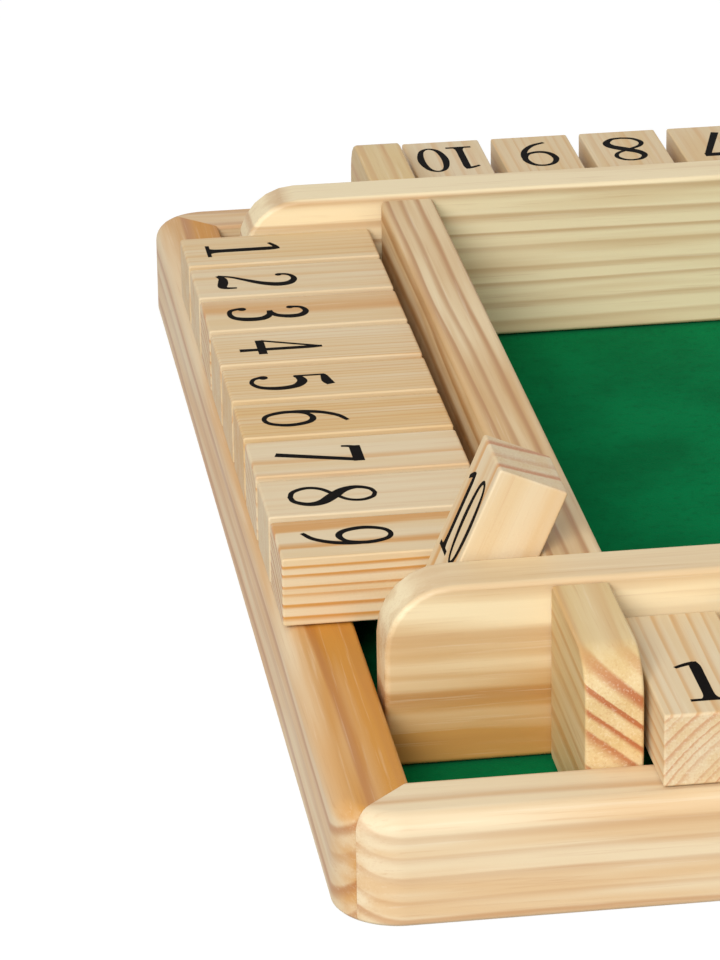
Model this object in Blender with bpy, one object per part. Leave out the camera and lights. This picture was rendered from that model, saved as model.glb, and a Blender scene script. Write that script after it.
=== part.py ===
"""Four-sided shut the box board: a felt-lined tray in a wooden frame, with a row of ten
hinged number tiles on each side. Metres, +Z up, origin under the middle of the board."""

import math

import bmesh
import bpy
from mathutils import Matrix, Vector

# Frame and floor

BOARD_WIDTH = 0.3000
RAIL_WIDTH = 0.0132
RAIL_HEIGHT = 0.0192
RAIL_CORNER_RADIUS = 0.0110
RAIL_TOP_ROUND = 0.0034
RAIL_EASE = 0.0008
REBATE_DEPTH = 0.0050
BASE_RISE = 0.0006
BASE_THICKNESS = 0.0036
FELT_THICKNESS = 0.0015

# Fences and end blocks

LONG_ROW_CHANNEL = 0.0317
SIDE_ROW_CHANNEL = 0.0291
FENCE_THICKNESS = 0.0108
FENCE_EASE = 0.0010
LONG_FENCE_HEIGHT = 0.0322
LONG_FENCE_END_ROUND = 0.0115
LONG_FENCE_SLIT = 0.0009
SHORT_FENCE_HEIGHT = 0.0314
BLOCK_HEIGHT = 0.0316
BLOCK_THICKNESS = 0.0097
BLOCK_SETBACK = 0.0015
BLOCK_OUTER_ROUND = 0.0080
BLOCK_EASE = 0.0008

# Tiles and rods

TILES_PER_ROW = 10
TILE_THICKNESS = 0.0126
TILE_GAP = 0.00226
TILE_EASE = 0.0008
TILE_END_INSET = 0.0008
FRONT_ROW_SLIDE = 0.0018
ROD_RADIUS = 0.0015
ROD_TO_FENCE = 0.0129
ROD_SEAT_DEPTH = 0.0055
BORE_HEIGHT_share = 0.455

# Clearances and cutting overrun

FIT_GAP = 0.0003
SWING_CLEARANCE = 0.0006
OVERRUN = 0.0020

# How finely round forms are faceted

CORNER_STEPS = 7
ROUND_STEPS = 3
EASE_STEPS = 2
ROD_SIDES = 16
SHARP_ANGLE = math.radians(35)

# Places that follow from the sizes above

HALF_BOARD = BOARD_WIDTH / 2
RAIL_INNER = HALF_BOARD - RAIL_WIDTH
LONG_FENCE_OUTER = RAIL_INNER - LONG_ROW_CHANNEL
SHORT_FENCE_OUTER = RAIL_INNER - SIDE_ROW_CHANNEL
TRAY_HALF_X = SHORT_FENCE_OUTER - FENCE_THICKNESS
TRAY_HALF_Y = LONG_FENCE_OUTER - FENCE_THICKNESS
BASE_TOP = BASE_RISE + BASE_THICKNESS
FELT_BOTTOM = BASE_TOP + FIT_GAP
FELT_TOP = FELT_BOTTOM + FELT_THICKNESS
FOOT = FELT_TOP + FIT_GAP
LONG_ROW_PITCH = 2 * TRAY_HALF_X / TILES_PER_ROW
SIDE_ROW_PITCH = 2 * TRAY_HALF_Y / TILES_PER_ROW
TILE_WIDTH = min(LONG_ROW_PITCH, SIDE_ROW_PITCH) - TILE_GAP
TILE_UNDERSIDE = RAIL_HEIGHT + FIT_GAP
TILE_BELOW_ROD = TILE_THICKNESS * BORE_HEIGHT_share
TILE_ABOVE_ROD = TILE_THICKNESS - TILE_BELOW_ROD
ROD_HEIGHT = TILE_UNDERSIDE + TILE_BELOW_ROD
LONG_ROW_ROD_OUT = LONG_FENCE_OUTER + ROD_TO_FENCE
SIDE_ROW_ROD_OUT = SHORT_FENCE_OUTER + ROD_TO_FENCE
TILE_OUTER_REACH = HALF_BOARD - TILE_END_INSET - max(LONG_ROW_ROD_OUT, SIDE_ROW_ROD_OUT)
BORE_RADIUS = ROD_RADIUS + FIT_GAP
BLOCK_INNER = TRAY_HALF_X + BLOCK_SETBACK

# A tile's inner end is as long as its corner can swing past the fence

SWING_RADIUS = ROD_TO_FENCE - SWING_CLEARANCE
TILE_INNER_REACH = math.sqrt(SWING_RADIUS ** 2 - max(TILE_ABOVE_ROD, TILE_BELOW_ROD) ** 2)
TILE_LENGTH = TILE_OUTER_REACH + TILE_INNER_REACH

# Each row is laid out as the front one, with its outer side at -Y, and then turned

ROW_TURNS = {"front": 0, "right": math.radians(90), "back": math.radians(180), "left": math.radians(-90)}
RAISED_TILES = {"tile_left_10"}

# Base colours, linear RGB

RAIL_COLOUR = (0.75, 0.50, 0.26)
FENCE_COLOUR = (0.70, 0.50, 0.27)
BLOCK_COLOUR = (0.72, 0.50, 0.28)
TILE_COLOURS = ((0.70, 0.53, 0.34), (0.74, 0.55, 0.36), (0.66, 0.46, 0.27), (0.64, 0.46, 0.28), (0.72, 0.50, 0.29))
FELT_COLOUR = (0.001, 0.13, 0.05)
BASE_COLOUR = (0.50, 0.38, 0.24)
STEEL_COLOUR = (0.55, 0.55, 0.56)
WOOD_ROUGHNESS = 0.50
FELT_ROUGHNESS = 0.95
STEEL_ROUGHNESS = 0.30


def clear_scene():
    for thing in list(bpy.data.objects):
        bpy.data.objects.remove(thing, do_unlink=True)


def new_collection(name):
    collection = bpy.data.collections.new(name)
    bpy.context.scene.collection.children.link(collection)
    return collection


def make_material(name, colour, roughness, metallic=0.0):
    material = bpy.data.materials.new(name)
    material.use_nodes = True
    shader = material.node_tree.nodes["Principled BSDF"]
    shader.inputs["Base Color"].default_value = (*colour, 1)
    shader.inputs["Roughness"].default_value = roughness
    shader.inputs["Metallic"].default_value = metallic
    return material


def edit_mesh(mesh, change):
    """Runs change on the mesh as a bmesh, with its faces turned out afterwards."""
    shape = bmesh.new()
    shape.from_mesh(mesh)
    change(shape)
    bmesh.ops.recalc_face_normals(shape, faces=shape.faces)
    shape.to_mesh(mesh)
    shape.free()
    return mesh


def box_mesh(name, low, high):
    """A box between two corners."""
    mesh = bpy.data.meshes.new(name)
    size = Vector(high) - Vector(low)
    middle = (Vector(high) + Vector(low)) / 2

    def build(shape):
        place = Matrix.Translation(middle) @ Matrix.Diagonal((*size, 1))
        bmesh.ops.create_cube(shape, size=1, matrix=place)

    return edit_mesh(mesh, build)


def rod_mesh(name, radius, start, end):
    """A round bar along X from start to end, on the X axis."""
    mesh = bpy.data.meshes.new(name)

    def build(shape):
        place = Matrix.Translation(((start + end) / 2, 0, 0)) @ Matrix.Rotation(math.pi / 2, 4, "Y")
        bmesh.ops.create_cone(shape, cap_ends=True, segments=ROD_SIDES, radius1=radius, radius2=radius,
                              depth=end - start, matrix=place)

    return edit_mesh(mesh, build)


def rounded_outline(corners):
    """Turns right-angled corners, given as (across, up, radius), into points with round corners."""
    points = []
    for index, (across, up, radius) in enumerate(corners):
        corner = Vector((across, up))
        before = (Vector(corners[index - 1][:2]) - corner).normalized()
        after = (Vector(corners[(index + 1) % len(corners)][:2]) - corner).normalized()
        if radius == 0:
            points.append(corner)
            continue
        centre = corner + (before + after) * radius
        for step in range(CORNER_STEPS + 1):
            turn = math.pi / 2 * step / CORNER_STEPS
            points.append(centre - after * radius * math.cos(turn) - before * radius * math.sin(turn))
    return points


def plate_mesh(name, outline, thickness):
    """A flat outline in the XY plane, made solid evenly to both sides of it."""
    curve = bpy.data.curves.new(name, "CURVE")
    curve.dimensions = "2D"
    curve.fill_mode = "BOTH"
    curve.extrude = thickness / 2
    spline = curve.splines.new("POLY")
    spline.points.add(len(outline) - 1)
    for point, place in zip(spline.points, outline):
        point.co = (place[0], place[1], 0, 1)
    spline.use_cyclic_u = True
    guide = bpy.data.objects.new(name, curve)
    bpy.context.scene.collection.objects.link(guide)
    evaluated = guide.evaluated_get(bpy.context.evaluated_depsgraph_get())
    mesh = bpy.data.meshes.new_from_object(evaluated)
    bpy.data.objects.remove(guide, do_unlink=True)

    def weld(shape):
        bmesh.ops.remove_doubles(shape, verts=shape.verts, dist=FIT_GAP / 100)
        bmesh.ops.dissolve_limit(shape, angle_limit=math.radians(1), verts=shape.verts, edges=shape.edges)

    return edit_mesh(mesh, weld)


def ease_edges(mesh, width, steps, wanted=lambda edge: True):
    """Rounds the sharp edges that are wanted, keeping the flat faces beside them."""
    def bevel(shape):
        sharp = [edge for edge in shape.edges if edge.calc_face_angle(0) > SHARP_ANGLE and wanted(edge)]
        bmesh.ops.bevel(shape, geom=sharp, offset=width, offset_type="OFFSET", segments=steps,
                        profile=0.5, affect="EDGES", clamp_overlap=True)

    return edit_mesh(mesh, bevel)


def edge_at_height(height):
    """Picks the edges that lie level at this height."""
    return lambda edge: all(abs(vert.co.z - height) < FIT_GAP / 100 for vert in edge.verts)


def carve(mesh, tools, operation="DIFFERENCE"):
    """The mesh after each tool mesh has been cut from it, or has trimmed it."""
    blank = bpy.data.objects.new(mesh.name + "_blank", mesh)
    cutters.objects.link(blank)
    hide_as_cutter(blank)
    for tool_mesh in tools:
        tool = bpy.data.objects.new(tool_mesh.name, tool_mesh)
        cutters.objects.link(tool)
        hide_as_cutter(tool)
        cut = blank.modifiers.new(tool_mesh.name, "BOOLEAN")
        cut.operation = operation
        cut.solver = "EXACT"
        cut.object = tool
    evaluated = blank.evaluated_get(bpy.context.evaluated_depsgraph_get())
    return bpy.data.meshes.new_from_object(evaluated)


def hide_as_cutter(thing):
    thing.hide_render = True
    thing.display_type = "WIRE"


def add_piece(name, mesh, colour, roughness, parent=None, metallic=0.0):
    """One named piece with its own material; its mesh may be shared with others."""
    if not mesh.materials:
        mesh.materials.append(None)
    mesh.shade_smooth()
    mesh.set_sharp_from_angle(angle=SHARP_ANGLE)
    piece = bpy.data.objects.new(name, mesh)
    piece.material_slots[0].link = "OBJECT"
    piece.material_slots[0].material = make_material(name, colour, roughness, metallic)
    piece.parent = parent
    pieces.objects.link(piece)
    return piece


def rail_mesh():
    """One mitred rail: a rounded board blank, opened and rebated, trimmed to a quarter."""
    corner = (HALF_BOARD, RAIL_CORNER_RADIUS)
    outline = rounded_outline([(-corner[0], -corner[0], corner[1]), (corner[0], -corner[0], corner[1]),
                               (corner[0], corner[0], corner[1]), (-corner[0], corner[0], corner[1])])
    blank = plate_mesh("rail", outline, RAIL_HEIGHT)
    blank.transform(Matrix.Translation((0, 0, RAIL_HEIGHT / 2)))
    ease_edges(blank, RAIL_TOP_ROUND, ROUND_STEPS, edge_at_height(RAIL_HEIGHT))
    ease_edges(blank, RAIL_EASE, 1, edge_at_height(0))
    rebate_half = RAIL_INNER + REBATE_DEPTH
    opening = box_mesh("opening", (-RAIL_INNER, -RAIL_INNER, -OVERRUN),
                       (RAIL_INNER, RAIL_INNER, RAIL_HEIGHT + OVERRUN))
    rebate = box_mesh("rebate", (-rebate_half, -rebate_half, -OVERRUN),
                      (rebate_half, rebate_half, FELT_BOTTOM))
    ring = carve(blank, [opening, rebate])
    apex = FIT_GAP * math.sqrt(0.5)
    wedge = plate_mesh("mitre_wedge", [(0, -apex), (-BOARD_WIDTH, -apex - BOARD_WIDTH),
                                       (BOARD_WIDTH, -apex - BOARD_WIDTH)], RAIL_HEIGHT + 2 * OVERRUN)
    wedge.transform(Matrix.Translation((0, 0, RAIL_HEIGHT / 2)))
    rail = carve(ring, [wedge], "INTERSECT")

    def inner_top(edge):
        on_top = edge_at_height(RAIL_HEIGHT)(edge)
        return on_top and all(abs(vert.co.y + RAIL_INNER) < FIT_GAP / 100 for vert in edge.verts)

    return ease_edges(rail, RAIL_EASE, 1, inner_top)


def rod_seat(side_inner, along):
    """A blind hole's cutter along X, from inside side_inner outwards to the seat's depth."""
    tool = rod_mesh("rod_seat", BORE_RADIUS, -side_inner - ROD_SEAT_DEPTH, -side_inner + OVERRUN)
    tool.transform(Matrix.Translation((0, along, ROD_HEIGHT)))
    return tool


def upright_plate(name, half_length, height, thickness, near_y, top_round):
    """A fence standing on the felt, its outline along X and its inner face at near_y."""
    outline = rounded_outline([(-half_length, FOOT, 0), (half_length, FOOT, 0),
                               (half_length, FOOT + height, top_round),
                               (-half_length, FOOT + height, top_round)])
    mesh = plate_mesh(name, outline, thickness)
    mesh.transform(Matrix.Rotation(math.pi / 2, 4, "X"))
    mesh.transform(Matrix.Translation((0, near_y - thickness / 2, 0)))
    return ease_edges(mesh, FENCE_EASE, EASE_STEPS)


def long_fence_mesh():
    """The fence of the front and back rows, which also seats the side rows' rods."""
    mesh = upright_plate("long_fence", RAIL_INNER - LONG_FENCE_SLIT, LONG_FENCE_HEIGHT, FENCE_THICKNESS,
                         -TRAY_HALF_Y, LONG_FENCE_END_ROUND)
    seats = []
    for along in (-SIDE_ROW_ROD_OUT, SIDE_ROW_ROD_OUT):
        seat = rod_seat(TRAY_HALF_Y, 0)
        seat.transform(Matrix.Rotation(math.pi / 2, 4, "Z"))
        seat.transform(Matrix.Translation((along, 0, 0)))
        seats.append(seat)
    return carve(mesh, seats)


def short_fence_mesh():
    """The fence of the side rows, which fits between the long fences."""
    return upright_plate("short_fence", TRAY_HALF_Y - FIT_GAP, SHORT_FENCE_HEIGHT, FENCE_THICKNESS,
                         -TRAY_HALF_X, 0)


def block_mesh():
    """The block at a row's left end: rounded over towards the rail, with a seat for the rod."""
    outer_y = -RAIL_INNER + FIT_GAP
    inner_y = -LONG_FENCE_OUTER - FIT_GAP
    top = FOOT + BLOCK_HEIGHT
    outline = rounded_outline([(outer_y, FOOT, 0), (inner_y, FOOT, 0), (inner_y, top, 0),
                               (outer_y, top, BLOCK_OUTER_ROUND)])
    mesh = plate_mesh("end_block", outline, BLOCK_THICKNESS)
    mesh.transform(Matrix.Rotation(math.pi / 2, 4, "X"))
    mesh.transform(Matrix.Rotation(math.pi / 2, 4, "Z"))
    mesh.transform(Matrix.Translation((-BLOCK_INNER - BLOCK_THICKNESS / 2, 0, 0)))
    ease_edges(mesh, BLOCK_EASE, EASE_STEPS)
    return carve(mesh, [rod_seat(BLOCK_INNER, -LONG_ROW_ROD_OUT)])


def tile_mesh():
    """A tile lying flat, its outer end at -Y, with the rod's axis through its origin."""
    half_width = TILE_WIDTH / 2
    mesh = box_mesh("tile", (-half_width, -TILE_OUTER_REACH, -TILE_BELOW_ROD),
                    (half_width, TILE_INNER_REACH, TILE_ABOVE_ROD))
    ease_edges(mesh, TILE_EASE, EASE_STEPS)
    return carve(mesh, [rod_mesh("tile_bore", BORE_RADIUS, -half_width - OVERRUN, half_width + OVERRUN)])


def leaning_angle(fence_height):
    """How far a tile turns from flat until its top face is FIT_GAP from the fence's rounded edge.

    With the edge's round centred at (out, up) from the rod, the top face at its distance from the
    rod is tangent to the round, FIT_GAP away, when out * sin(angle) + up * cos(angle) equals reach."""
    out = ROD_TO_FENCE + FENCE_EASE
    up = FOOT + fence_height - FENCE_EASE - ROD_HEIGHT
    reach = TILE_ABOVE_ROD + FENCE_EASE + FIT_GAP
    return math.pi - math.asin(reach / math.hypot(out, up)) - math.atan2(up, out)


def add_floor():
    base_half = RAIL_INNER + REBATE_DEPTH - FIT_GAP
    base = box_mesh("base_panel", (-base_half, -base_half, BASE_RISE), (base_half, base_half, BASE_TOP))
    add_piece("base_panel", base, BASE_COLOUR, WOOD_ROUGHNESS)
    felt_half = RAIL_INNER - FIT_GAP
    felt = box_mesh("felt_lining", (-felt_half, -felt_half, FELT_BOTTOM), (felt_half, felt_half, FELT_TOP))
    add_piece("felt_lining", felt, FELT_COLOUR, FELT_ROUGHNESS)


def add_row_empty(side):
    row = bpy.data.objects.new(f"row_{side}", None)
    row.rotation_euler.z = ROW_TURNS[side]
    pieces.objects.link(row)
    return row


def add_rod(side, row, half_length, rod_out):
    mesh = rod_mesh(f"rod_{side}", ROD_RADIUS, -half_length, half_length)
    rod = add_piece(f"rod_{side}", mesh, STEEL_COLOUR, STEEL_ROUGHNESS, row, 1.0)
    rod.location = (0, -rod_out, ROD_HEIGHT)


def add_tiles(side, row, mesh, layout, slide):
    """Ten tiles on the row's rod, numbered from the player's left to right."""
    for number in range(1, TILES_PER_ROW + 1):
        name = f"tile_{side}_{number:02d}"
        colour = TILE_COLOURS[number % len(TILE_COLOURS)]
        tile = add_piece(name, mesh, colour, WOOD_ROUGHNESS, row)
        places_from_middle = number - (TILES_PER_ROW + 1) / 2
        tile.location = (places_from_middle * layout["pitch"] - slide, -layout["rod_out"], ROD_HEIGHT)
        if name in RAISED_TILES:
            tile.rotation_euler.x = -leaning_angle(layout["fence_height"])


def add_end_blocks(side, row, mesh):
    """The row's two blocks, named for the board's left and right: the second one is turned round."""
    mirrored = mesh.copy()
    mirrored.transform(Matrix.Scale(-1, 4, (1, 0, 0)))
    mirrored.flip_normals()
    first, second = ("left", "right") if side == "front" else ("right", "left")
    add_piece(f"end_block_{side}_{first}", mesh, BLOCK_COLOUR, WOOD_ROUGHNESS, row)
    add_piece(f"end_block_{side}_{second}", mirrored, BLOCK_COLOUR, WOOD_ROUGHNESS, row)


clear_scene()
pieces = new_collection("shut_the_box_game")
cutters = new_collection("cutters")
add_floor()
shared_rail = rail_mesh()
shared_tile = tile_mesh()
shared_block = block_mesh()
LONG_ROW = {"fence": long_fence_mesh(), "fence_height": LONG_FENCE_HEIGHT, "pitch": LONG_ROW_PITCH,
            "rod_out": LONG_ROW_ROD_OUT, "rod_half": BLOCK_INNER + ROD_SEAT_DEPTH - FIT_GAP}
SIDE_ROW = {"fence": short_fence_mesh(), "fence_height": SHORT_FENCE_HEIGHT, "pitch": SIDE_ROW_PITCH,
            "rod_out": SIDE_ROW_ROD_OUT, "rod_half": TRAY_HALF_Y + ROD_SEAT_DEPTH - FIT_GAP}
for side in ROW_TURNS:
    row = add_row_empty(side)
    layout = LONG_ROW if side in ("front", "back") else SIDE_ROW
    add_piece(f"frame_rail_{side}", shared_rail, RAIL_COLOUR, WOOD_ROUGHNESS, row)
    add_piece(f"fence_{side}", layout["fence"], FENCE_COLOUR, WOOD_ROUGHNESS, row)
    add_rod(side, row, layout["rod_half"], layout["rod_out"])
    add_tiles(side, row, shared_tile, layout, FRONT_ROW_SLIDE if side == "front" else 0)
    if layout is LONG_ROW:
        add_end_blocks(side, row, shared_block)
    lean = math.degrees(leaning_angle(layout["fence_height"]))
    print(f"{side} row: a tile turns {lean:.2f} degrees to lean on its fence")
print(f"tile {TILE_LENGTH:.5f} x {TILE_WIDTH:.5f}; rods {ROD_HEIGHT:.5f} up")
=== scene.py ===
# %% [markdown]
# # A four-sided shut the box board
# Four players sit round a wooden tray lined with green felt. Each has a row of ten numbered
# tiles on a steel rod, and flips a tile inwards over its fence to shut it. This lesson dresses
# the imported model: every wooden piece is cut from a make-believe log, so that the growth rings
# run through it as they do through real pine.

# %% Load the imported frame
import math

import bmesh
import bpy
import numpy as np
from mathutils import Matrix, Vector


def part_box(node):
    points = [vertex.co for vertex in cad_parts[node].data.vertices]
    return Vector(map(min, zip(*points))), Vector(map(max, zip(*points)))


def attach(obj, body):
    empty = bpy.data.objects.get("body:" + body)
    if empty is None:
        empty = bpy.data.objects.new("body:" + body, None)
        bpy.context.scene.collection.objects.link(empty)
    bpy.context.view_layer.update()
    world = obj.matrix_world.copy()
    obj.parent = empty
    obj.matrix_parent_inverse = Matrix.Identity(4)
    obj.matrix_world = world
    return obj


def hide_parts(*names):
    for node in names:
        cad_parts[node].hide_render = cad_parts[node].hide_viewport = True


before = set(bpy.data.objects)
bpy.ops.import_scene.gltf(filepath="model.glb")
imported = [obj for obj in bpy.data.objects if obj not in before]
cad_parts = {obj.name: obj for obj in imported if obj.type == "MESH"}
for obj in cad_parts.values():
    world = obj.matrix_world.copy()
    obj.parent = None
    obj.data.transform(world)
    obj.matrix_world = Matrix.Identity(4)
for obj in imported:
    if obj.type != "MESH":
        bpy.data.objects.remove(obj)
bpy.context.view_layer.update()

MM = 0.001

# %% [markdown]
# ## Camera
# The photograph was taken from in front of the near left corner with a long lens, so parallel
# edges stay nearly parallel. The place and turn below come from fitting the corners of the rails,
# fences and tiles. A cross product of the view's direction with the upright gives the camera's
# right and then its up, and the roll turns those two.

# %% Camera
CAMERA_PLACE = Vector((-0.232036, -0.793806, 0.343947))
CAMERA_YAW = math.radians(7.646)
CAMERA_PITCH = math.radians(-22.326)
CAMERA_ROLL = math.radians(-0.924)
LENS_MM = 230.876
SENSOR_MM = 36


def aim(place, forward, roll=0.0):
    """A matrix that looks along forward: right = forward x up, then both turned by roll."""
    right = forward.cross(Vector((0, 0, 1))).normalized()
    up = right.cross(forward)
    turned_right = right * math.cos(roll) + up * math.sin(roll)
    turned_up = up * math.cos(roll) - right * math.sin(roll)
    axes = Matrix((turned_right, turned_up, -forward)).transposed()
    return Matrix.Translation(place) @ axes.to_4x4()


def add_object(name, data):
    """A new object in the scene, at the origin."""
    made = bpy.data.objects.new(name, data)
    bpy.context.scene.collection.objects.link(made)
    return made


camera = add_object("camera", bpy.data.cameras.new("camera"))
camera.data.sensor_fit = "HORIZONTAL"
camera.data.sensor_width = SENSOR_MM
camera.data.lens = LENS_MM
level = math.cos(CAMERA_PITCH)
ahead = (math.sin(CAMERA_YAW) * level, math.cos(CAMERA_YAW) * level, math.sin(CAMERA_PITCH))
gaze = Vector(ahead)
camera.matrix_world = aim(CAMERA_PLACE, gaze, CAMERA_ROLL)
bpy.context.scene.camera = camera
bpy.context.scene.view_settings.view_transform = "Standard"
print("camera looks along", tuple(round(part, 3) for part in gaze))

# %% [markdown]
# ## Shader sums as Python
# A wood shader is mostly arithmetic. Wiring thirty Math nodes by hand is slow to read, so one
# small class wraps a socket: a sum written on it adds the Math node, and one method makes any
# other node from its type, its settings and its inputs.

# %% A socket that can do sums
# A Mix node keeps its colour sockets behind those for numbers and vectors.
MIX_SHARE = 0
MIX_FIRST = 6
MIX_SECOND = 7
MIX_RESULT = 2


class Wire:
    """A socket of a node tree, or the bare tree where socket is None."""

    def __init__(self, tree, socket=None):
        self.tree = tree
        self.socket = socket

    def node(self, kind, settings=None, sockets=None, output=0):
        """Adds a node, sets its settings first, then its sockets, and gives one output."""
        made = self.tree.nodes.new("ShaderNode" + kind)
        for name, value in (settings or {}).items():
            setattr(made, name, value)
        for name, value in (sockets or {}).items():
            if isinstance(value, Wire):
                self.tree.links.new(value.socket, made.inputs[name])
            else:
                made.inputs[name].default_value = value
        return Wire(self.tree, made.outputs[output])

    def sum(self, operation, first, second=0.0):
        """A Math node; operations with one input leave the second alone."""
        return self.node("Math", {"operation": operation}, {0: first, 1: second})

    def __add__(self, other):
        return self.sum("ADD", self, other)

    def __sub__(self, other):
        return self.sum("SUBTRACT", self, other)

    def __rsub__(self, other):
        return self.sum("SUBTRACT", other, self)

    def __mul__(self, other):
        return self.sum("MULTIPLY", self, other)

    def __truediv__(self, other):
        return self.sum("DIVIDE", self, other)

    __radd__ = __add__
    __rmul__ = __mul__

    def step(self, low, high):
        """0 below low, 1 above high, with an S-shaped rise between."""
        settings = {"interpolation_type": "SMOOTHSTEP"}
        return self.node("MapRange", settings, {0: self, 1: low, 2: high})

    def blend(self, first, second):
        """Mixes two colours, self being the share of the second."""
        mix = self.tree.nodes.new("ShaderNodeMix")
        mix.data_type = "RGBA"
        self.tree.links.new(self.socket, mix.inputs[MIX_SHARE])
        for slot, value in ((MIX_FIRST, first), (MIX_SECOND, second)):
            if isinstance(value, Wire):
                self.tree.links.new(value.socket, mix.inputs[slot])
            else:
                mix.inputs[slot].default_value = value
        return Wire(self.tree, mix.outputs[MIX_RESULT])

    def stretched(self, scale):
        """A vector multiplied part by part."""
        return self.node("VectorMath", {"operation": "MULTIPLY"}, {0: self, 1: scale})

    def noise(self, scale, detail=2.0, roughness=0.5):
        """Cloudy values about 0.5 over a vector."""
        sockets = {"Vector": self, "Scale": scale, "Detail": detail, "Roughness": roughness}
        return self.node("TexNoise", None, sockets)


def srgb(red, green, blue):
    """Screen values 0 to 255 made linear: ((v + 0.055) / 1.055) ** 2.4, or v / 12.92 if dark."""
    parts = np.array((red, green, blue)) / 255
    linear = np.where(parts <= 0.04045, parts / 12.92, ((parts + 0.055) / 1.055) ** 2.4)
    return (*linear.tolist(), 1.0)


def new_material(name, roughness):
    """A material with a plain Principled shader, and a Wire on its tree."""
    material = bpy.data.materials.new(name)
    material.use_nodes = True
    shader = material.node_tree.nodes["Principled BSDF"]
    shader.inputs["Roughness"].default_value = roughness
    return material, shader, Wire(material.node_tree)


def plug(shader, socket, wire):
    """Links a wire to one of the shader's sockets."""
    shader.id_data.links.new(wire.socket, shader.inputs[socket])


# %% [markdown]
# ## Pine
# A growth ring is pale early wood that darkens slowly into amber late wood and then stops
# sharply. Where a board is cut along the trunk the rings show as lines, and where it is cut
# across they show as arcs. Painting that on each face would never meet at the edges. Instead
# each point of a piece carries its place in the log, and the shader works out the ring from the
# distance to the pith, so lines and arcs join at every edge by themselves. Finer noise, drawn out
# along the trunk, gives the fibres, and round noise gives the pores where a board is cut across.

# %% Pine from its place in the log
RING_WANDER = 1.3 * MM
RING_FRAY = 0.16 * MM
RING_UNEVEN = 0.8
LATE_RISE = (0.44, 0.84)
LATE_STOP = (0.86, 1.0)
FAINTEST_RING = 0.35
RING_CHANCE = 0.7
END_STRENGTH = 1.25
SAWN_RELIEF = 0.25 * MM
# Noises are scale per metre, detail and roughness. A small last part of the stretch draws a
# noise out along the trunk.
WANDER, WANDER_STRETCH = (22, 1.0), (1, 1, 0.45)
FRAY, FRAY_STRETCH = (900, 2.0), (1, 1, 0.04)
FIBRE, FIBRE_STRETCH = (1500, 3.0, 0.6), (1, 1, 0.025)
STREAK, STREAK_STRETCH = (210, 2.0), (1, 1, 0.06)
PORES = (2600, 2.0, 0.6)
# The noise levels where flecks begin and are full, and their share of the colour.
DARK_FIBRE, DARK_PORE = ((0.55, 0.78), 0.26), ((0.52, 0.72), 0.30)
LIGHT_FIBRE, LIGHT_PORE = ((0.44, 0.26), 0.18), ((0.46, 0.3), 0.26)
LIGHT_FLECK = srgb(243, 230, 204)
STREAK_STEP, STREAK_SHARE, STREAK_SHIFT = (0.34, 0.68), 0.5, -0.1
# How rough early wood on a side is, and what late wood, fibres and cut ends add.
PINE_ROUGHNESS, LATE_ROUGHNESS, FIBRE_ROUGHNESS, END_ROUGHNESS = 0.56, -0.10, 0.12, 0.12
FIBRE_HEIGHT, LATE_HEIGHT, PORE_HEIGHT = 0.5, 0.35, 0.5
RELIEF_STRENGTH = 0.22


def ring_lines(tree, place, ring_width):
    """How much late wood there is, 0 to about 1.

    Rings = distance from the pith / ring width, made uneven; late wood rises over the ring's
    fraction and stops sharply, and each whole ring has a strength of its own."""
    flat = place.stretched((1, 1, 0))
    radius = tree.node("VectorMath", {"operation": "LENGTH"}, {0: flat}, "Value")
    wander = place.stretched(WANDER_STRETCH).noise(*WANDER) - 0.5
    fray = place.stretched(FRAY_STRETCH).noise(*FRAY) - 0.5
    distance = radius + wander * (2 * RING_WANDER) + fray * (2 * RING_FRAY)
    slow = {"W": distance / ring_width * 0.5, "Scale": 1.0, "Detail": 1.0}
    uneven = tree.node("TexNoise", {"noise_dimensions": "1D"}, slow)
    rings = distance / ring_width + uneven * RING_UNEVEN
    fraction = tree.sum("FRACT", rings)
    number = tree.sum("FLOOR", rings)
    chance = tree.node("TexWhiteNoise", {"noise_dimensions": "1D"}, {"W": number}, "Value")
    strength = chance * RING_CHANCE + FAINTEST_RING
    return fraction.step(*LATE_RISE) * (1 - fraction.step(*LATE_STOP)) * strength


def flecks(fibre, pore, end, fibre_level, pore_level):
    """Share of the fleck's colour: fibres on the sides, pores on the cut ends."""
    fibre_step, fibre_share = fibre_level
    pore_step, pore_share = pore_level
    on_sides = fibre.step(*fibre_step) * (1 - end) * fibre_share
    return on_sides + pore.step(*pore_step) * end * pore_share


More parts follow.
